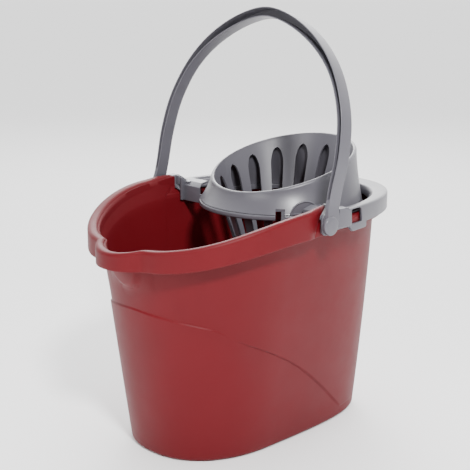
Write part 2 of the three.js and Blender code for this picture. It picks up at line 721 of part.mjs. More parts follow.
/** Points of the arch, from the right foot over to the left, for a half span and a height. */
function archPoints(halfSpan, height) {
  const count = 64;
  return Array.from({ length: count + 1 }, (_, i) => {
    const share = i / count;
    const t = (Math.PI / 2) * (1 - Math.cos(Math.PI * share));
    const across = Math.abs(Math.cos(t)) ** (2 / BAIL_SPAN_POWER);
    const up = Math.abs(Math.sin(t)) ** (2 / BAIL_HEIGHT_POWER);
    const reach = Math.hypot(halfSpan, BAIL_CROWN_ROUND) - BAIL_CROWN_ROUND;
    const rounded = BAIL_CROWN_ROUND + across * reach;
    const x = Math.sqrt(Math.max(0, rounded ** 2 - BAIL_CROWN_ROUND ** 2));
    return new THREE.Vector2(Math.sign(Math.cos(t)) * x, height * up);
  });
}

/** A band between two arches, extruded across the bail's width from one face to another. */
function archBand(margin, fromY, toY) {
  const outer = archPoints(BAIL_HALF_SPAN - margin, BAIL_HEIGHT - margin);
  const inner = archPoints(
    BAIL_HALF_SPAN - BAIL_LEG_THICKNESS + margin,
    BAIL_HEIGHT - BAIL_GRIP_THICKNESS + margin,
  );
  const shape = new THREE.Shape([...outer, ...inner.reverse()]);
  const geometry = new THREE.ExtrudeGeometry(shape, { depth: toY - fromY, bevelEnabled: false });
  geometry.rotateX(Math.PI / 2);
  geometry.translate(0, toY, 0);
  return toSolid(geometry);
}

function bailHandle() {
  const outerX = BAIL_HALF_SPAN + 1;
  const innerX = EAR_OUTER_X + GAP;
  const boss = barAlongX(innerX, outerX, 0, 0, BAIL_BOSS_RADIUS);
  const stud = barAlongX(EAR_INNER_X + GAP, innerX + 1, 0, 0, PIVOT_RADIUS);
  const channel = archBand(BAIL_CHANNEL_WALL, -BAIL_FRONT - 1, BAIL_BACK - BAIL_WEB)
    .subtract(block([-FAR, -FAR, -FAR], [FAR, FAR, BAIL_BOSS_RADIUS + 6]));
  const arch = archBand(0, -BAIL_FRONT, BAIL_BACK).subtract(channel);
  return arch.add(onBothSides(boss.add(stud)));
}

// ---------------------------------------------------------------- the object

const bail = toMesh('bail_handle', bailHandle(), grey);
bail.rotation.x = -BAIL_LEAN;
bail.position.set(0, PIVOT_Y, PIVOT_Z);

const group = new THREE.Group();
group.add(
  toMesh('bucket_shell', bucketShell(), red),
  toMesh('rim_collar', rimCollar(), grey),
  toMesh('wringer_basket', wringerBasket(), grey),
  bail,
);
group.position.y = (RIM.front + SPOUT_REACH - RIM.back) / 2;

export default group;
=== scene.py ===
"""Looks of the oval mop bucket: shell, rim collar, wringer basket and bail.

Shapes are worked out in millimetres about the bucket's widest section, as in the CAD, and
placed in the row frame by placed(). One piece of each of the four groups replaces its CAD node.
"""

import bmesh
import bpy
import numpy as np
from mathutils import Matrix, Vector


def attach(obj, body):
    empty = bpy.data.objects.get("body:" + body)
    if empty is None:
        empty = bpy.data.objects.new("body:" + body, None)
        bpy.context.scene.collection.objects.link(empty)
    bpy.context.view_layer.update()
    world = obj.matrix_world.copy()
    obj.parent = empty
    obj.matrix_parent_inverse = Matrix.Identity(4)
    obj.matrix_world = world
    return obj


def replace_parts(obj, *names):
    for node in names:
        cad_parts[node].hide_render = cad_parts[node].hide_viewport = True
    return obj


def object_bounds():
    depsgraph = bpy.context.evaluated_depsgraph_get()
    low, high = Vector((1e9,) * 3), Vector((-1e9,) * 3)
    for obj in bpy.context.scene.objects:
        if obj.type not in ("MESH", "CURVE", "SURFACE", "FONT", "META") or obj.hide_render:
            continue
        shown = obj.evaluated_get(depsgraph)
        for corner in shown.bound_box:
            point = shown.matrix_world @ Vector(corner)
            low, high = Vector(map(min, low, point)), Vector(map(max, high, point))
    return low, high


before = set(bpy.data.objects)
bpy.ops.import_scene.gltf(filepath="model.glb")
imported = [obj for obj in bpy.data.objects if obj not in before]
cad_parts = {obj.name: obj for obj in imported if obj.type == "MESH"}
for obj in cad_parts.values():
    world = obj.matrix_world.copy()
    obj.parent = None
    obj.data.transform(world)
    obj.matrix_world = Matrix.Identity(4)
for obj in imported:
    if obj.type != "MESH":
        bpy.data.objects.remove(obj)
cad_low, cad_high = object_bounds()

# ------------------------------------------------------------------ dimensions, mm

WALL = 2.5
# half width, front, back, front power, back power
RIM = (140, 154, 232, 2.12, 2.6)
BASE = (88, 110, 193, 2.27, 3.7)
BODY_TOP = (124, 138, 216, 2.12, 2.6)
DECK_HOLE = (121.3, 121.3, 206, 2, 2.6)
DECK_EDGE = (131, 131, 206, 2, 2.6)
RING = (101.4, 100.1, 100.1, 2, 2)
RING_CENTRE_Y = 105.6
SPOUT_REACH, SPOUT_HALF_WIDTH, SPOUT_DIP = 12.5, 37, 4
ORIGIN_Y = (RIM[1] + SPOUT_REACH - RIM[2]) / 2

RIM_FRONT, RIM_SHOULDER, RIM_BACK = 252.7, 287.8, 272.5  # heights of the rim's top
SHOULDER_Y, SHOULDER_OUTER_Y, SHOULDER_INNER_Y = 17, 18.5, 44
SHOULDER_TURN = 1.8  # radius of the shoulder's edge
SHOULDER_SPREAD = 45  # how far either side of it the rim's points slide along with its slant
RIM_WIDTH = 12
RIM_RECESS = 4.4  # how far the rim's outside draws in, to lie under the collar
RIM_INNER = 12.1  # inset of the crown's inner edge
CROWN_FALL = 4.6  # from the rim's top to that edge
FUNNEL_DEPTH = 22  # in which the inside narrows from that edge to the wall
FUNNEL_LEFT = 0.08  # share of the narrowing that is spread on down the wall
UNDERSIDE, FLOOR = 3, 6  # heights of the base's two faces
FOOT_ROUND, FLOOR_ROUND = 5, 10
LINE_BAND = 2  # closer rows of points this far either side of the body's panel line
SKIRT_FRONT, SKIRT_SHOULDER, SKIRT_BACK_HEM = 23.4, 31.9, 257
COLLAR_TOP, BAND_BOTTOM = 281.3, 260.7
PLATE_BOTTOM = 278.4  # underside of the collar's deck
PIVOT = (28.2, 270.4)  # y, z
LEAN = np.radians(13.8)  # of the bail, back from upright

FRONT = -np.pi / 2


def smooth(x, low, high):
    """0 below low, 1 above high, eased between them."""
    t = np.clip((np.asarray(x, float) - low) / (high - low), 0, 1)
    return t * t * (3 - 2 * t)


def outline(shape, inset, angle):
    """Points of a plan outline, set in by inset, in the directions of angle."""
    half, front, back, front_power, back_power = shape
    c, s = np.cos(angle), np.sin(angle)
    power = np.where(s < 0, front_power, back_power)
    length = np.where(s < 0, front, back) - inset
    radius = (np.abs(c / (half - inset)) ** power + np.abs(s / length) ** power) ** (-1 / power)
    return radius * c, radius * s


def across_at(shape, inset, y):
    """Half width of an outline, set in by inset, at y."""
    half, front, back, front_power, back_power = shape
    power = np.where(y < 0, front_power, back_power)
    length = np.where(y < 0, front, back) - inset
    return (half - inset) * (1 - np.clip(np.abs(y) / length, 0, 1) ** power) ** (1 / power)


def angle_at(y):
    """Angle at which the rim's outline reaches y, on the right-hand side."""
    return float(np.arctan2(y, across_at(RIM, 0, np.float64(y))))


# ------------------------------------------------------------------ meshes


def placed(points):
    """Millimetres about the widest section to metres in the row frame."""
    points = np.asarray(points, float).reshape(-1, 3)
    return (points + [0, ORIGIN_Y, 0]) * 0.001


def piece(name, points, faces, body, material, sharp=40, replaces=None):
    """A mesh that rides on a body; a cutter has no body."""
    mesh = bpy.data.meshes.new(name)
    mesh.from_pydata(placed(points).tolist(), [], faces)
    bm = bmesh.new()
    bm.from_mesh(mesh)
    bmesh.ops.remove_doubles(bm, verts=bm.verts, dist=2e-6)
    bmesh.ops.recalc_face_normals(bm, faces=bm.faces)
    if bm.calc_volume(signed=True) < 0:
        bmesh.ops.reverse_faces(bm, faces=bm.faces)
    bm.to_mesh(mesh)
    bm.free()
    obj = bpy.data.objects.new(name, mesh)
    bpy.context.scene.collection.objects.link(obj)
    mesh.materials.append(material)
    soften(obj, sharp)
    if body:
        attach(obj, body)
    if replaces:
        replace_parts(obj, replaces)
    return obj


def soften(obj, sharp):
    """Smooth shading, with a hard edge wherever faces meet at more than sharp degrees."""
    obj.data.shade_smooth()
    obj.data.set_sharp_from_angle(angle=np.radians(sharp))


def apply_modifiers(obj):
    dg = bpy.context.evaluated_depsgraph_get()
    done = bpy.data.meshes.new_from_object(obj.evaluated_get(dg))
    obj.modifiers.clear()
    obj.data = done


def bevel(obj, width, segments=3, limit=30, sharp=40):
    m = obj.modifiers.new("bevel", "BEVEL")
    m.width = width * 0.001
    m.segments = segments
    m.limit_method = "ANGLE"
    m.angle_limit = np.radians(limit)
    m.harden_normals = False
    apply_modifiers(obj)
    soften(obj, sharp)


def cut(obj, *cutters):
    for cutter in cutters:
        m = obj.modifiers.new("cut", "BOOLEAN")
        m.operation = "DIFFERENCE"
        m.solver = "EXACT"
        m.object = cutter
    apply_modifiers(obj)
    for cutter in cutters:
        bpy.data.objects.remove(cutter)


def ring_faces(rings, points, closed=True):
    """Quads between rings of points; each ring is closed, and the rings close if asked."""
    faces = []
    for i in range(rings if closed else rings - 1):
        j = (i + 1) % rings
        for k in range(points):
            l = (k + 1) % points
            faces.append((i * points + k, j * points + k, j * points + l, i * points + l))
    if not closed:
        faces.append(tuple(range(points)))
        faces.append(tuple((rings - 1) * points + k for k in reversed(range(points))))
    return faces


def prism_faces(n):
    """Faces between an n-sided polygon's points and their copies at the far end."""
    caps = [tuple(range(n)), tuple(range(2 * n - 1, n - 1, -1))]
    return caps + [(k, (k + 1) % n, n + (k + 1) % n, n + k) for k in range(n)]


def lofted(name, rings, body, sharp, closed=False):
    """A grey moulding through rings of points, capped at both ends unless closed."""
    rings = np.asarray(rings, float)
    faces = ring_faces(rings.shape[0], rings.shape[1], closed)
    return piece(name, rings.reshape(-1, 3), faces, body, grey, sharp)


def shell_faces(rings, points):
    """Quads of a swept shell whose section starts and ends on the axis."""
    faces = []
    for i in range(rings):
        j = (i + 1) % rings
        for k in range(points - 1):
            faces.append((i * points + k, j * points + k, j * points + k + 1, i * points + k + 1))
    return faces


def prism(name, polygon, low, high, body, material, round_by=0.8, turn=None):
    """A polygon in the Y-Z plane, extruded along X from low to high."""
    points = [(x, y, z) for x in (low, high) for y, z in polygon]
    if turn is not None:
        points = [turn @ Vector(p) for p in points]
    obj = piece(name, points, prism_faces(len(polygon)), body, material)
    if round_by:
        bevel(obj, round_by)
    return obj


def rounded(corners, radius, steps=5):
    """A polygon's corners rounded off; radius is one value or one for each corner."""
    corners = [np.array(c, float) for c in corners]
    radii = np.broadcast_to(radius, len(corners))
    out = []
    for k, corner in enumerate(corners):
        a = corners[k - 1] - corner
        b = corners[(k + 1) % len(corners)] - corner
        if radii[k] == 0:
            out.append(tuple(corner))
            continue
        ua, ub = a / np.linalg.norm(a), b / np.linalg.norm(b)
        half = np.arccos(np.clip(ua @ ub, -1, 1)) / 2
        reach = radii[k] / np.tan(half)
        start, end = corner + ua * reach, corner + ub * reach
        for t in np.linspace(0, 1, steps):
            out.append(tuple((1 - t) ** 2 * start + 2 * t * (1 - t) * corner + t * t * end))
    return out


def mirrored(obj, name):
    """The same piece on the left-hand side."""
    copy = obj.copy()
    copy.data = obj.data.copy()
    copy.name = copy.data.name = name
    bpy.context.scene.collection.objects.link(copy)
    copy.data.transform(Matrix.Scale(-1, 4, (1, 0, 0)))
    copy.data.flip_normals()
    return copy


# ------------------------------------------------------------------ materials


def moulded(name, slot, colour, dark, roughness, grain, gloss=0.5):
    """Injection-moulded plastic: a faint cloud in its colour, fine grain, and soft ripples."""
    material = bpy.data.materials.new(name)
    material.use_nodes = True
    material["slot"] = slot
    nodes, links = material.node_tree.nodes, material.node_tree.links
    shader = nodes["Principled BSDF"]
    shader.inputs["IOR"].default_value = 1.49
    shader.inputs["Specular IOR Level"].default_value = gloss
    place = nodes.new("ShaderNodeTexCoord")

    def noise(scale, detail, distortion=0.0):
        node = nodes.new("ShaderNodeTexNoise")
        node.inputs["Scale"].default_value = scale
        node.inputs["Detail"].default_value = detail
        node.inputs["Distortion"].default_value = distortion
        links.new(place.outputs["Object"], node.inputs["Vector"])
        return node.outputs["Fac"]

    cloud = nodes.new("ShaderNodeValToRGB")
    cloud.color_ramp.elements[0].position = 0.3
    cloud.color_ramp.elements[0].color = (*dark, 1)
    cloud.color_ramp.elements[1].position = 0.7
    cloud.color_ramp.elements[1].color = (*colour, 1)
    links.new(noise(9, 5, 0.6), cloud.inputs["Fac"])
    links.new(cloud.outputs["Color"], shader.inputs["Base Color"])

    sheen = nodes.new("ShaderNodeMapRange")
    sheen.inputs["To Min"].default_value = roughness - 0.05
    sheen.inputs["To Max"].default_value = roughness + 0.07
    links.new(noise(45, 4), sheen.inputs["Value"])
    links.new(sheen.outputs["Result"], shader.inputs["Roughness"])

    ripples = nodes.new("ShaderNodeBump")
    ripples.inputs["Strength"].default_value = 0.12
    ripples.inputs["Distance"].default_value = 0.0008
    links.new(noise(38, 2), ripples.inputs["Height"])
    fine = nodes.new("ShaderNodeBump")
    fine.inputs["Strength"].default_value = grain
    fine.inputs["Distance"].default_value = 0.00012
    links.new(noise(1400, 3), fine.inputs["Height"])
    links.new(ripples.outputs["Normal"], fine.inputs["Normal"])
    links.new(fine.outputs["Normal"], shader.inputs["Normal"])
    return material


red = moulded("red_polypropylene", "red_plastic", colour=(0.112, 0.0026, 0.006),
              dark=(0.098, 0.0021, 0.005), roughness=0.5, grain=0.1, gloss=0.2)
grey = moulded("grey_polypropylene", "grey_plastic", colour=(0.094, 0.09, 0.106),
               dark=(0.085, 0.082, 0.097), roughness=0.34, grain=0.12)

# ------------------------------------------------------------------ bucket shell


def towards_shoulder(y):
    """0 at the very front of the rim, 1 at the shoulder."""
    return np.clip((y + RIM[1]) / (SHOULDER_Y + RIM[1]), 0, 1)


def rim_line(y):
    """Height of the rim's top at y, before the shoulder's drop."""
    rise = np.sin(towards_shoulder(y) * np.pi / 2) ** 1.3
    return RIM_FRONT + (RIM_SHOULDER - RIM_FRONT) * rise


def skirt_hem(y):
    """Height of the rim skirt's lower edge at y."""
    depth = SKIRT_FRONT + (SKIRT_SHOULDER - SKIRT_FRONT) * towards_shoulder(y)
    hem = rim_line(y) - depth
    return hem + (SKIRT_BACK_HEM - hem) * smooth(y, SHOULDER_Y, SHOULDER_INNER_Y)


def spout_reach(x, y):
    """How far the spout stands out past the outline; a crease runs at each side of it."""
    across = np.abs(x) / SPOUT_HALF_WIDTH
    lobe = SPOUT_REACH * np.clip(1 - across**2, 0, 1) ** 0.8
    crease = 1.7 * np.exp(-(((across - 1.12) / 0.3) ** 2))
    return np.where(y < 0, lobe - crease, 0)


def panel_line(u):
    """Height of the line that parts the body's panels, at u degrees round from the spout."""
    front = 178.3 - 16 * (np.clip(u, 0, None) / 46) ** 1.6
    w = np.clip(u - 60, 0, None)
    back = 144 - w * (0.95 + 0.6 * (w / 89) ** 3)
    return np.clip(front + (back - front) * smooth(u, 44, 64), 14, None)


def panel_offset(u, z):
    """How far the body steps in beside that line: above it in front, below it behind."""
    beyond = z - panel_line(u)
    above = smooth(beyond, -1.2, 1.2) * (1 - smooth(beyond, 2, 70))
    below = smooth(-beyond, -1.2, 1.2) * (1 - smooth(-beyond, 2, 60))
    front = 1.5 * (1 - smooth(u, 34, 56))
    back = 1.9 * smooth(u, 54, 72) * (1 - smooth(u, 150, 158))
    return front * above + back * below * smooth(z, 2, 34)


def spout_bulge(x, y, z, hem):
    """The proud lobe on the body that carries the spout down below the skirt."""
    reach = np.hypot(x / 27, (hem - z) / (hem - 201))
    return 4.6 * smooth(1 - reach, 0, 0.28) * (y < 0)


def shell_angles():
    """Directions of the shell's sections, set closer at its two shoulders."""
    even = np.linspace(0, 2 * np.pi, 500, endpoint=False)
    about_edge = np.array([-2.4, -2.0, -1.5, -1.0, -0.7, -0.45, -0.25, 0, 0.2, 0.4, 0.8])
    near = np.concatenate([np.linspace(6, 17.5, 14), SHOULDER_OUTER_Y + about_edge])
    near = np.array([angle_at(y) for y in near])
    extra = np.concatenate([near, np.pi - near])
    apart = [a for a in even if np.min(np.abs(extra - a)) > 0.005]
    return np.sort(np.concatenate([apart, extra]))


def bucket_shell():
    """The red moulding in one skin: underside, wall, skirt, rim, inside wall and floor."""
    angles = shell_angles()
    rim_x, rim_y = outline(RIM, 0, angles)
    u = np.degrees(np.abs((angles - FRONT + np.pi) % (2 * np.pi) - np.pi))
    in_spout = SPOUT_DIP * np.clip(1 - (rim_x / SPOUT_HALF_WIDTH) ** 2, 0, 1)
    high = rim_line(rim_y) - np.where(rim_y < 0, in_spout, 0)
    past = rim_y - SHOULDER_OUTER_Y
    into_turn = np.clip(past + SHOULDER_TURN + 0.4, 0, SHOULDER_TURN)
    turned = SHOULDER_TURN - np.sqrt(np.clip(SHOULDER_TURN**2 - into_turn**2, 0, None))
    straight = RIM_SHOULDER - RIM_BACK - SHOULDER_TURN
    drop = turned + straight * np.clip((past + 0.4) / 0.4, 0, 1)
    top = high - np.where(rim_y > 0, drop, 0)
    hem = skirt_hem(rim_y)
    recess = RIM_RECESS * np.clip((rim_y - 2) / 15.5, 0, 1) ** 2
    lean_in = np.exp(-(((rim_y - SHOULDER_OUTER_Y) / SHOULDER_SPREAD) ** 2))

    def slanted(shape, inset, x, y, share):
        """Slides points along an outline, so that the shoulder ends on a slanting line."""
        reach = (SHOULDER_INNER_Y - SHOULDER_OUTER_Y) * np.clip(inset / RIM_WIDTH, 0, 1)
        moved = y + reach * lean_in * share
        side = (np.abs(rim_y) < 130) & (lean_in > 1e-4)
        across = np.sign(x) * across_at(shape, inset, moved)
        return np.where(side, across, x), np.where(side, moved, y)

    def on_body(z, inset, slant=0.0, panels=False):
        """A row on the tapered body at height z, set in by inset."""
        z = np.broadcast_to(np.asarray(z, float), angles.shape)
        share = z / hem
        shape = tuple(a + (b - a) * share for a, b in zip(BASE, BODY_TOP))
        inset = inset + (panel_offset(u, z) if panels else 0)
        x, y = outline(shape, inset, angles)
        if slant:
            x, y = slanted(shape, inset, x, y, slant)
        below = 0.4 * smooth(share, 0.86, 1)
        above = 0.6 * smooth(z, hem, top)
        bulge = spout_bulge(x, y, z, hem) * (1 - above / 0.6)
        swell = spout_reach(x, y) * (below + above) + bulge
        return np.stack([x, y - swell, z], 1)

    def on_rim(inset, z, slant=1.0):
        """A row on the rim or its skirt at height z, set in by inset."""
        inset = inset + 0 * angles
        x, y = outline(RIM, inset, angles)
        x, moved = slanted(RIM, inset, x, y, slant)
        rise = 0.12 * np.clip(moved - np.maximum(rim_y, 8), 0, None) * (past < -0.3)
        z = z + rise * smooth(z, top - FUNNEL_DEPTH, top - 4)
        return np.stack([x, moved - spout_reach(x, moved), z], 1)

    def foot(inset, z):
        x, y = outline(BASE, inset, angles)
        return np.stack([x, y, np.full_like(x, z)], 1)

    def flat(insets, z):
        """Rows across a level face of the base, one for each inset."""
        return [foot(inset, z) for inset in insets]

    middle = np.zeros((len(angles), 3))
    rows = [middle + [0, 0, UNDERSIDE]]
    rows += flat((60, 30, 16, 14.2), UNDERSIDE)
    foot_ring = ((13.4, 2.4), (13, 0.8), (12.4, 0.15), (11.5, 0), (8, 0), (5.2, 0))
    rows += [foot(i, z) for i, z in foot_ring]
    for a in np.linspace(0, np.pi / 2, 7):
        rows.append(on_body(FOOT_ROUND * (1 - np.cos(a)), FOOT_ROUND * (1 - np.sin(a))))
    line = panel_line(u)
    for t in np.linspace(0.06, 0.97, 18):
        z = FOOT_ROUND + (line - LINE_BAND - FOOT_ROUND) * t
        rows.append(on_body(z, 0, panels=True))
    rows += [on_body(line + d, 0, panels=True) for d in np.linspace(-1.7, 1.7, 9)]
    for t in np.linspace(0, 1, 34):
        z = line + LINE_BAND + (hem - 3 - line - LINE_BAND) * t
        rows.append(on_body(z, 0, panels=True))
    # up behind the skirt, down its inside, round its hem and up its outside
    rows += [on_body(hem + (top - 4 - hem) * t, 0) for t in np.linspace(0, 1, 6)]
    skirt_roof = ((9, 2.7), (4.5, 2.6), (3, 3.2), (2.5, 4.5))
    rows += [on_rim(i + recess, top - z) for i, z in skirt_roof]
    rows += [on_rim(2.5 + recess, hem + (top - 5 - hem) * t, t) for t in (0.7, 0.35, 0.06)]
    skirt_edge = ((2.4, 0.6), (2.1, 0.15), (1.6, 0), (0.9, 0), (0.35, 0.2), (0.08, 0.6), (0, 1.2))
    rows += [on_rim(i + recess, hem + z, 0) for i, z in skirt_edge]
    for t in np.linspace(0.08, 1, 12):
        rows.append(on_rim(recess, hem + 1.2 + (top - 4.2 - hem - 1.2) * t, t))
    crown = ((0.06, 3.6), (0.35, 2.5), (1, 1.35), (1.9, 0.6), (3, 0.15), (4.2, 0), (5.6, 0),
             (7.2, 0.1), (8.6, 0.4), (9.8, 0.9), (10.8, 1.7), (11.4, 2.6), (11.8, 3.6),
             (RIM_INNER, CROWN_FALL))
    rows += [on_rim(i + recess * (1 - i / RIM_WIDTH), top - z) for i, z in crown]
    for t in np.linspace(0.08, 1, 14):
        z = top - CROWN_FALL - FUNNEL_DEPTH * t
        rim, body = on_rim(RIM_INNER, z), on_body(z, WALL, slant=1)
        # the funnel keeps its height past the shoulder, though the rim drops there
        depth = np.clip((high - CROWN_FALL - z) / FUNNEL_DEPTH, 0, 1)[:, None]
        rows.append(rim + (body - rim) * (1.25 - 0.33 * depth) * depth)
    low = top - (CROWN_FALL + FUNNEL_DEPTH)
    for t in np.linspace(0.03, 1, 34):
        z = low + (FLOOR + FLOOR_ROUND - low) * t
        rim, body = on_rim(RIM_INNER, z), on_body(z, WALL, slant=1 - t)
        rows.append(body + (rim - body) * FUNNEL_LEFT * (1 - smooth(t, 0, 0.35)))
    for a in np.linspace(0.2, np.pi / 2, 6):
        rows.append(on_body(FLOOR + FLOOR_ROUND * (1 - np.sin(a)), WALL + 8 * (1 - np.cos(a))))
    rows += flat((16, 30, 60), FLOOR)
    rows.append(middle + [0, 0, FLOOR])
    grid = np.stack(rows, 1)
    piece("bucket_shell_look", grid.reshape(-1, 3), shell_faces(len(angles), len(rows)),
          "bucket", red, sharp=70, replaces="bucket_shell")


def bucket_latches():
    """The red wedges that show through the collar's windows."""
    y = 87.5
    x = float(across_at(RIM, RIM_RECESS, np.float64(y)))
    section = rounded([(-4, 262), (1.8, 262), (2.2, 268), (0.6, 271.4), (-4, 272)],
                      (0, 0.8, 0.8, 1.2, 0))
    facing = Matrix.Translation((x, y, 0)) @ Matrix.Rotation(np.radians(9), 4, "Z")
    points = [facing @ Vector((a, side, z)) for side in (-7, 7) for a, z in section]
    latch = piece("bucket_latch_right", points, prism_faces(len(section)), "bucket", red)
    bevel(latch, 0.5)
    mirrored(latch, "bucket_latch_left")


bucket_shell()
bucket_latches()

# ------------------------------------------------------------------ rim collar


def deck_section():
    """Section of the deck from its edge inwards, as (outline, inset, z, y of its two ends)."""
    outer = rounded([(8, PLATE_BOTTOM), (2.5, PLATE_BOTTOM), (2.5, BAND_BOTTOM), (0, BAND_BOTTOM),
                     (0, COLLAR_TOP), (6, COLLAR_TOP)], (0, 0.6, 0.7, 1.0, 3.2, 0))
    edge = ((-1.6, COLLAR_TOP), (-0.7, 281.1), (0.1, 280.5), (0.8, 279.4))
    # inside its flat top the deck falls steeply, to a short lip under the basket
    lip = rounded([(-5, PLATE_BOTTOM), (-1.9, 274.5), (-1.9, 269.5), (0, 269.5), (0.4, 272)],
                  (0, 0.6, 0.6, 0.6, 0))
    rows = [(RIM, inset, z, 38) for inset, z in outer]
    rows += [(DECK_EDGE, inset, z, 46) for inset, z in edge]
    rows += [(DECK_HOLE, inset, z, 46) for inset, z in reversed(lip)]
    return rows


def deck():
    """The deck and the band outside the rim, swept round the back of the bucket."""
    share = np.linspace(0, 1, 260)
    rows = []
    for shape, inset, z, y in deck_section():
        first = np.arctan2(y, across_at(shape, inset, np.float64(y)))
        px, py = outline(shape, inset, first + (np.pi - 2 * first) * share)
        rows.append(np.stack([px, py, np.full_like(px, z)], 1))
    made = lofted("collar_deck", np.stack(rows, 1), "bucket", sharp=35)
    cut(made, *window_cutters())
    bevel(made, 0.45, segments=2, limit=50)
    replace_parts(made, "rim_collar")


def block(name, low, high, turn):
    """A cutter's box."""
    corners = (low, high)
    points = [Vector((a[0], b[1], c[2])) for a in corners for b in corners for c in corners]
    points = [turn @ p for p in points]
    faces = [(0, 1, 3, 2), (4, 6, 7, 5), (0, 4, 5, 1), (2, 3, 7, 6), (0, 2, 6, 4), (1, 5, 7, 3)]
    return piece(name, points, faces, None, grey)


def window_cutters():
    """Cutters for the window through the collar's band at each side."""
    cutters = []
    for side in (-1, 1):
        corners = rounded([(78.5, 262.8), (99.5, 262.8), (97.5, 279.6), (77, 279.6)],
                          (0.8, 0.8, 4.5, 2.5))
        low, high = sorted((side * 126, side * 150))
        cutters.append(prism("window", corners, low, high, None, grey, round_by=0))
    return cutters


def band_end():
    """The band outside the rim, carried on forward past the deck."""
    angles = np.linspace(angle_at(25), angle_at(60), 24)
    rows = []
    for inset, z in rounded([(2.6, 260.8), (0.1, 260.8), (0.1, 281), (2.6, 281)], 0.7):
        x, y = outline(RIM, inset, angles)
        rows.append(np.stack([x, y, np.full_like(x, z)], 1))
    made = lofted("collar_band_end_right", np.stack(rows, 1), "bucket", sharp=35)
    mirrored(made, "collar_band_end_left")


def hook():
    """The hook under each window: its front corner is cut off at a slant."""
    angles = np.linspace(angle_at(72.6), angle_at(109.5), 60)
    _, ys = outline(RIM, 0, angles)
    slant, round_off = np.clip((80.6 - ys) / 7.5, 0, 1), np.clip((ys - 108) / 1.5, 0, 1)
    height, root = 9, 262
    bottom = 254 + 7 * slant + 1.2 * round_off**2
    rows = []
    section = rounded([(2.5, height), (2.5, 0), (-0.15, 0), (-0.15, height)], (0.3, 0.8, 1.0, 0.5))
    for inset, share in section:
        x, y = outline(RIM, inset, angles)
        rows.append(np.stack([x, y, bottom + (root - bottom) * share / height], 1))
    made = lofted("collar_hook_right", np.stack(rows, 1), "bucket", sharp=35)
    mirrored(made, "collar_hook_left")


def ear_and_stop():
    """The ear that carries the bail's stud, and the block that stops the bail behind it."""
    ear = rounded([(22.5, 258), (40, 259.5), (40, 284), (21.5, 282)], (7, 1, 3, 7), steps=10)
    plate = prism("collar_ear_right", ear, 139.6, 142.4, "bucket", grey, round_by=1.3)
    mirrored(plate, "collar_ear_left")
    stop = rounded([(39.1, 265.3), (64.2, 265.3), (62.4, 286.8), (44.4, 286.8)], (1, 1.6, 7, 1),
                   steps=9)
    rest = prism("collar_stop_right", stop, 136.5, 147.6, "bucket", grey, round_by=1.4)
    mirrored(rest, "collar_stop_left")


def saddle():
    """The raised saddle that meets the end of the shoulder, sloping back down to the deck."""
    insets = (0.3, 0.6, 1.2, 2.2, 3.6, 5.2, 7, 9, 11, 12.2, 13.5, 15, 16.4, 17.4, 18.1, 18.5, 18.7)
    foot = 277.2
    rows = []
    for i in insets:
        outside, inside = np.clip((i - 0.3) / 1.4, 0, 1), np.clip((i - 17.2) / 1.5, 0, 1)
        edge = 1.8 * (1 - outside) ** 2 + 1.6 * inside**2
        ridge = 281.6 + 7 * smooth(i, -1, 13)
        ridge -= edge
        flat = COLLAR_TOP - 0.05 - edge
        profile = [(0.7, foot), (0.7, ridge - 1.2), (1.0, ridge - 0.4), (1.7, ridge),
                   (3.2, ridge + 0.05)]
        for t in np.linspace(0.12, 1, 9):
            profile.append((3.2 + 14 * t, ridge + (flat - ridge) * smooth(t, -0.05, 1.02)))
        profile += [(21, flat), (21, foot)]
        slant = np.clip(i / RIM_WIDTH, 0, 1)
        start = SHOULDER_OUTER_Y + (SHOULDER_INNER_Y - SHOULDER_OUTER_Y) * slant
        row = []
        for v, z in profile:
            y = start + v
            row.append((float(across_at(RIM, i, np.float64(y))), y, z))
        rows.append(row)
    mirrored(lofted("collar_saddle_right", rows, "bucket", sharp=50), "collar_saddle_left")


def arm():
    """The arm from the deck in to the ring, cut back round the wringer's skirt.

    A cheek closes its outer end, and a bridge joins its top to the deck.
    """
    section = rounded([(50, 257), (52.6, 257), (52.6, 276), (58, 278.6), (74, 278.6), (74, 281.25),
                       (58, 281.25), (50, 276.6)], (0.8, 0.5, 1, 1, 0, 0, 1.2, 1.2))
    made = prism("collar_arm_right", section, 84, 119.4, "bucket", grey, round_by=0)
    radius, turns = 103.6, np.linspace(0, 2 * np.pi, 72, endpoint=False)
    circle = [(radius * np.cos(a), radius * np.sin(a) + RING_CENTRE_Y) for a in turns]
    points = [(x, y, z) for z in (268.4, 300) for x, y in circle]
    cut(made, piece("clearance", points, prism_faces(len(circle)), None, grey))
    bevel(made, 0.7, segments=3, limit=45)
    mirrored(made, "collar_arm_left")
    corner = rounded([(45.4, 257.6), (54, 257.6), (54, 279.5), (45.4, 287.5)], (0.8, 0, 0, 1.0))
    cheek = prism("collar_cheek_right", corner, 116.6, 119.6, "bucket", grey, round_by=0.9)
    mirrored(cheek, "collar_cheek_left")
    slab = rounded([(53, 278.7), (74, 278.7), (74, 281.2), (53, 281.2)], 0.4)
    bridge = prism("collar_bridge_right", slab, 112, 131, "bucket", grey, round_by=0)
    mirrored(bridge, "collar_bridge_left")


def key_cutter():
    """Cutter for the keyway that stops the basket turning in its ring."""
    turn = Matrix.Translation((0, RING_CENTRE_Y, 0)) @ Matrix.Rotation(np.radians(-46.8), 4, "Z")
    return block("key", (94.5, -5.5, 258), (106, 5.5, 275), turn)


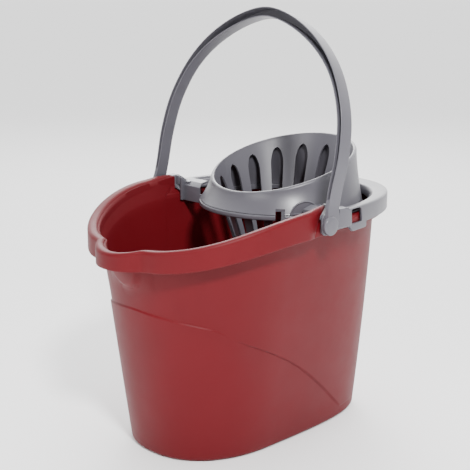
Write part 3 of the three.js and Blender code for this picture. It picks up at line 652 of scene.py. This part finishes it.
def ring():
    """The ring that the basket stands in, and the web that ties it to the deck behind."""
    angles = np.linspace(0, 2 * np.pi, 240, endpoint=False)
    section = rounded([(0, 262), (0, 268.2), (5, 268.2), (5, 262)], (2.4, 2.2, 0.8, 0.8), steps=7)
    rows = []
    for inset, z in section:
        x, y = outline(RING, inset, angles)
        rows.append(np.stack([x, y + RING_CENTRE_Y, np.full_like(x, z)], 1))
    made = lofted("collar_ring", np.stack(rows, 1), "bucket", sharp=60, closed=True)
    cut(made, key_cutter())
    soften(made, 50)
    web = rounded([(203.5, 262.2), (208, 262.2), (208, 278.8), (203.5, 278.8)], 0.5)
    prism("collar_rear_web", web, -26, 26, "bucket", grey, round_by=0.5)


deck()
band_end()
hook()
ear_and_stop()
saddle()
arm()
ring()

# ------------------------------------------------------------------ wringer basket

CROWN_Y, CROWN_Z, CROWN_X, CROWN_L = 109.4, 315.1, 88.5, 89.4  # centre and half spans
CROWN_SLOPE = np.tan(np.radians(15.7))
CROWN_ROLL = 2.6  # radius of the rolled edge
CONE_Y, CONE_RADIUS, CONE_SLOPE, CONE_FLOOR = 101, 85, 0.33, 190
BASKET_FOOT = 268.6
SKIRT_TOP_SHARE = 0.93  # of the skirt's height, where the roll starts
SLOTS, SLOT_HALF_WIDTH, SLOT_BOTTOM, SLOT_BELOW_CROWN = 16, 8, 204, 13.4


def crown_top(angle):
    """Height of the basket's sloping rim."""
    return CROWN_Z + CROWN_SLOPE * CROWN_L * np.sin(angle)


def cone_radius(z):
    """Inside radius of the basket's cone."""
    return CONE_RADIUS + CONE_SLOPE * (z - CROWN_Z)


def slot_cutter(angle):
    """Cutter for one slot: a tall arch on top, narrowing down the cone to a half round."""
    top = float(crown_top(angle)) - SLOT_BELOW_CROWN
    lean = np.arctan(CONE_SLOPE)
    length = (top - SLOT_BOTTOM) / np.cos(lean)
    low_half = SLOT_HALF_WIDTH * cone_radius(SLOT_BOTTOM) / cone_radius(top)
    arch_height = 21
    side = [(0.0, 0.0)]
    for t in np.linspace(0.1, 1, 10):
        side.append((SLOT_HALF_WIDTH * (1 - (1 - t) ** 2) ** 0.52, -arch_height * t))
    bottom = []
    for a in np.linspace(0, -np.pi, 13):
        bottom.append((low_half * np.cos(a), -length + low_half + low_half * np.sin(a)))
    left = [(-x, h) for x, h in reversed(side[1:])]
    contour = side + bottom + left
    place = (Matrix.Translation((0, CONE_Y, 0)) @ Matrix.Rotation(angle, 4, "Z")
             @ Matrix.Translation((cone_radius(top), 0, top)) @ Matrix.Rotation(lean, 4, "Y"))
    points = [place @ Vector((d, w, h)) for d in (-9, 6) for w, h in contour]
    return piece("slot", points, prism_faces(len(contour)), None, grey)


def wringer_basket():
    """The basket in one skin, slotted: floor, cone, skirt, rolled rim and inside."""
    count = 360
    angles = np.linspace(0, 2 * np.pi, count, endpoint=False)
    c, s = np.cos(angles), np.sin(angles)
    top = crown_top(angles)
    under = CONE_FLOOR - WALL

    def on_cone(z, out):
        z = z + 0 * angles
        radius = cone_radius(z) + out
        return np.stack([radius * c, CONE_Y + radius * s, z], 1)

    def on_skirt(share, inset):
        flare = (1 - share) ** 1.6
        x = CROWN_X * c + ((RING[0] - 1) * c - CROWN_X * c) * flare
        y = CROWN_Y + CROWN_L * s
        y = y + (RING_CENTRE_Y + (RING[1] - 1) * s - y) * flare
        z = BASKET_FOOT + (top - BASKET_FOOT) * share
        return np.stack([x - inset * c, y - inset * s, z], 1)

    def level(row, z):
        return np.stack([row[:, 0], row[:, 1], z + 0 * angles], 1)

    def flat(radii, z):
        return [np.stack([r * c, CONE_Y + r * s, 0 * c + z], 1) for r in radii]

    middle = np.zeros((count, 3))
    rows = [middle + [0, CONE_Y, under]] + flat((12, 25, 38), under)
    floor_edge = ((0, 2.0), (0.3, 0.9), (1.1, 0.2), (2.5, 0))
    rows += [on_cone(under + d, WALL - e) for d, e in floor_edge]
    for t in np.linspace(0.04, 1, 14):
        rows.append(on_cone(CONE_FLOOR + (top - 5 - CONE_FLOOR) * t, WALL))
    # over behind the skirt, down its inside, round its foot and up its outside
    rows.append(level(on_skirt(0.86, WALL), top - 5))
    rows += [on_skirt(t, WALL) for t in np.linspace(0.84, 0.06, 12)]
    foot = ((0, 3.2), (0, 2.2), (0, 1.0), (0.01, 0.2), (0.03, 0))
    rows += [on_skirt(share, inset) for share, inset in foot]
    rows += [on_skirt(t, 0) for t in np.linspace(0.06, SKIRT_TOP_SHARE, 20)]
    # the rolled rim: a half round from the skirt's outside over to the cone's inside
    outer = on_skirt(SKIRT_TOP_SHARE, 0)
    inner = level(on_cone(top - CROWN_ROLL, 0), top - CROWN_ROLL)
    mid, half = (outer + inner) / 2, (outer - inner) / 2
    for a in np.linspace(0, np.pi, 13):
        rows.append(level(mid + half * np.cos(a), top - CROWN_ROLL + CROWN_ROLL * np.sin(a)))
    for t in np.linspace(1, 0, 26):
        rows.append(on_cone(CONE_FLOOR + 4 + (top - 3.4 - CONE_FLOOR - 4) * t, 0))
    rows += [on_cone(CONE_FLOOR + d, -e) for d, e in ((2, 0.3), (0.7, 1.4), (0, 3.5))]
    rows += flat((30, 18, 8), CONE_FLOOR)
    rows.append(middle + [0, CONE_Y, CONE_FLOOR])
    grid = np.stack(rows, 1)
    basket = piece("wringer_basket_look", grid.reshape(-1, 3), shell_faces(count, len(rows)),
                   "wringer", grey, sharp=40, replaces="wringer_basket")
    cutters = [slot_cutter(np.pi / 2 + 2 * np.pi * k / SLOTS) for k in range(SLOTS)]
    cut(basket, *cutters, key_cutter())
    soften(basket, 40)


def thumb_tab():
    """The half-round tab on the basket's foot, with a raised edge, beside the right arm."""
    turn = Matrix.Translation((0, RING_CENTRE_Y, 0)) @ Matrix.Rotation(np.radians(-30), 4, "Z")
    arc = np.linspace(0, np.pi, 25)
    disc = [(16.8 * np.cos(a), BASKET_FOOT + 0.4 + 15 * np.sin(a)) for a in arc]
    prism("wringer_tab_plate", disc, 97.4, 99.2, "wringer", grey, round_by=0.4, turn=turn)
    rings = []
    for a in arc:
        ring_points = []
        for b in np.linspace(0, 2 * np.pi, 12, endpoint=False):
            out = 1 + 0.06 * np.cos(b)
            ring_points.append(turn @ Vector((98.6 + 1.5 * np.sin(b), 17 * out * np.cos(a),
                                              BASKET_FOOT + 15.4 * out * np.sin(a))))
        rings.append(ring_points)
    lofted("wringer_tab_edge", rings, "wringer", sharp=60)
    ledge_top = BASKET_FOOT + 2.4
    ledge = rounded([(-18, BASKET_FOOT), (18, BASKET_FOOT), (18, ledge_top), (-18, ledge_top)], 0.6)
    prism("wringer_tab_ledge", ledge, 91, 100, "wringer", grey, round_by=0.4, turn=turn)


wringer_basket()
thumb_tab()

# ------------------------------------------------------------------ bail handle

BAIL_HALF_SPAN, BAIL_HEIGHT = 149.9, 235
BAIL_FRONT, BAIL_BACK, BAIL_SKIN = -7, 11.1, 1.2  # y of its faces about the pivots, and its wall
CHANNEL_DEPTH = 13.5
STUD_RADIUS, BOSS_RADIUS = 5, 10.6
BOSS_FACE = 150.9  # the widest point of the whole object


def arch(t):
    """The bail's outside line, about the pivots and in the bail's own plane."""
    across = np.abs(np.cos(t)) ** (2 / 1.5)
    up = np.abs(np.sin(t)) ** (2 / 3.49)
    crown = 5  # keeps the very top round
    reach = np.hypot(BAIL_HALF_SPAN, crown) - crown
    x = np.sqrt(np.clip((crown + across * reach) ** 2 - crown**2, 0, None))
    x, z = np.sign(np.cos(t)) * x, BAIL_HEIGHT * up
    # the legs draw in just over the pivots and bow out a little higher up
    waist, swell = 2.9, 1.2
    bow = swell * np.exp(-(((z - 112) / 30) ** 2))
    change = bow - waist * smooth(z, 6, 22) * (1 - smooth(z, 32, 78))
    return x + np.sign(x) * change, z


def on_bail(points):
    """Points about the pivots, the bail upright, to the frame at rest, where it leans back."""
    lean = Matrix.Translation((0, *PIVOT)) @ Matrix.Rotation(-LEAN, 4, "X")
    return [lean @ Vector(p) for p in points]


def bail_section(thick, height):
    """The bail's section at a height over the pivots: a channel, open to the front."""
    depth = max(CHANNEL_DEPTH * float(smooth(height, 24, 40)), 0.02)
    lip, corner = min(0.3, depth / 3), min(0.8, depth / 3)
    corners = [(0, BAIL_FRONT), (BAIL_SKIN, BAIL_FRONT), (BAIL_SKIN, BAIL_FRONT + depth),
               (thick - BAIL_SKIN, BAIL_FRONT + depth), (thick - BAIL_SKIN, BAIL_FRONT),
               (thick, BAIL_FRONT), (thick, BAIL_BACK), (0, BAIL_BACK)]
    return rounded(corners, (0.6, lip, corner, corner, lip, 0.6, 1.3, 4.2), steps=6)


def bail_arch():
    """The bail's arch, thickest at its crown."""
    share = np.linspace(0, 1, 221)
    outer_x, outer_z = arch(np.pi / 2 * (1 - np.cos(np.pi * share)))
    along_x, along_z = np.gradient(outer_x), np.gradient(outer_z)
    step = np.hypot(along_x, along_z)
    thickness = 5.4 + 1.4 * smooth(outer_z, 20, 90) + 4.7 * smooth(outer_z, 150, 235)
    thickness = np.where(outer_z < 18, np.abs(outer_x) - 142.8, thickness)
    inner_x = outer_x - along_z / step * thickness
    inner_z = outer_z + along_x / step * thickness
    rows = []
    for k in range(len(share)):
        o, i = np.array([outer_x[k], outer_z[k]]), np.array([inner_x[k], inner_z[k]])
        thick = np.linalg.norm(o - i)
        d = (o - i) / thick
        section = bail_section(thick, o[1])
        rows.append(on_bail([(i[0] + d[0] * a, y, i[1] + d[1] * a) for a, y in section]))
    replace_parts(lofted("bail_arch", rows, "bail", sharp=40), "bail_handle")


def bail_bosses():
    """The disc over each pivot, with the stud that turns in the collar's ear."""
    profile = [(137.7, 0), (137.7, 4.4), (138.3, STUD_RADIUS), (145.4, STUD_RADIUS), (145.6, 9.8),
               (146.3, BOSS_RADIUS), (149.6, BOSS_RADIUS), (150.5, 10.1), (BOSS_FACE, 9.2),
               (BOSS_FACE, 4), (BOSS_FACE, 0)]
    points, count = [], 64
    for a in np.linspace(0, 2 * np.pi, count, endpoint=False):
        points += [(x, r * np.cos(a), r * np.sin(a)) for x, r in profile]
    boss = piece("bail_boss_right", on_bail(points), shell_faces(count, len(profile)),
                 "bail", grey, sharp=50)
    mirrored(boss, "bail_boss_left")


bail_arch()
bail_bosses()

# ------------------------------------------------------------------ stage, lights, camera

centre = (cad_low + cad_high) / 2
FLOOR_HALF_SIZE = 60  # m


def stage_material():
    material = bpy.data.materials.new("pale_floor")
    material.use_nodes = True
    nodes, links = material.node_tree.nodes, material.node_tree.links
    shader = nodes["Principled BSDF"]
    shader.inputs["Roughness"].default_value = 0.9
    shader.inputs["Specular IOR Level"].default_value = 0.1
    noise = nodes.new("ShaderNodeTexNoise")
    noise.inputs["Scale"].default_value = 3
    ramp = nodes.new("ShaderNodeValToRGB")
    ramp.color_ramp.elements[0].color = (0.93, 0.93, 0.93, 1)
    ramp.color_ramp.elements[1].color = (0.95, 0.95, 0.95, 1)
    links.new(noise.outputs["Fac"], ramp.inputs["Fac"])
    links.new(ramp.outputs["Color"], shader.inputs["Base Color"])
    return material


def stage():
    """The floor."""
    mesh = bpy.data.meshes.new("floor")
    bm = bmesh.new()
    bmesh.ops.create_grid(bm, x_segments=8, y_segments=8, size=FLOOR_HALF_SIZE)
    bm.to_mesh(mesh)
    bm.free()
    floor = bpy.data.objects.new("floor", mesh)
    bpy.context.scene.collection.objects.link(floor)
    mesh.materials.append(stage_material())


def sky():
    """A plain white surround, brightest behind the object, as a lit studio sweep is."""
    world = bpy.data.worlds.new("studio")
    bpy.context.scene.world = world
    world.use_nodes = True
    nodes, links = world.node_tree.nodes, world.node_tree.links
    background = nodes["Background"]
    background.inputs["Color"].default_value = (1, 1, 1, 1)
    place = nodes.new("ShaderNodeTexCoord")
    facing = nodes.new("ShaderNodeVectorMath")
    facing.operation = "DOT_PRODUCT"
    facing.inputs[1].default_value = Vector((-0.6, 0.7, 0.4)).normalized()
    links.new(place.outputs["Generated"], facing.inputs[0])
    glow = nodes.new("ShaderNodeMapRange")
    glow.inputs["From Min"].default_value = -1
    links.new(facing.outputs["Value"], glow.inputs["Value"])
    steep = nodes.new("ShaderNodeMath")
    steep.operation = "POWER"
    steep.inputs[1].default_value = 4
    links.new(glow.outputs["Result"], steep.inputs[0])
    strength = nodes.new("ShaderNodeMapRange")
    strength.inputs["To Min"].default_value = 0.25
    strength.inputs["To Max"].default_value = 5.4
    links.new(steep.outputs["Value"], strength.inputs["Value"])
    links.new(strength.outputs["Result"], background.inputs["Strength"])


def look_from(obj, target, azimuth, elevation, distance):
    """Links a camera or light and turns it on target; azimuth 0 looks along +Y."""
    a, e = np.radians(azimuth), np.radians(elevation)
    back = Vector((np.sin(a) * np.cos(e), -np.cos(a) * np.cos(e), np.sin(e)))
    bpy.context.scene.collection.objects.link(obj)
    obj.location = target + back * distance
    obj.rotation_mode = "QUATERNION"
    obj.rotation_quaternion = (-back).to_track_quat("-Z", "Y")


def area_light(name, azimuth, elevation, distance, size, power):
    light = bpy.data.lights.new(name, "AREA")
    light.shape = "DISK"
    light.size = size
    light.energy = power
    look_from(bpy.data.objects.new(name, light), centre, azimuth, elevation, distance)


def camera():
    data = bpy.data.cameras.new("camera")
    data.sensor_width = 36
    data.lens = 81.64
    data.clip_start, data.clip_end = 0.05, 200
    obj = bpy.data.objects.new("camera", data)
    target = centre + Vector((0.0231, -0.028, -0.0074))
    look_from(obj, target, azimuth=46.01, elevation=13.53, distance=1.2356)
    bpy.context.scene.camera = obj


stage()
sky()
area_light("key", azimuth=2, elevation=24, distance=2.2, size=0.9, power=15)
area_light("top", azimuth=60, elevation=42, distance=1.8, size=0.3, power=48)
area_light("side", azimuth=112, elevation=25, distance=2.2, size=1.2, power=4)
area_light("rim_light", azimuth=228, elevation=35, distance=2.4, size=1.0, power=26)
camera()
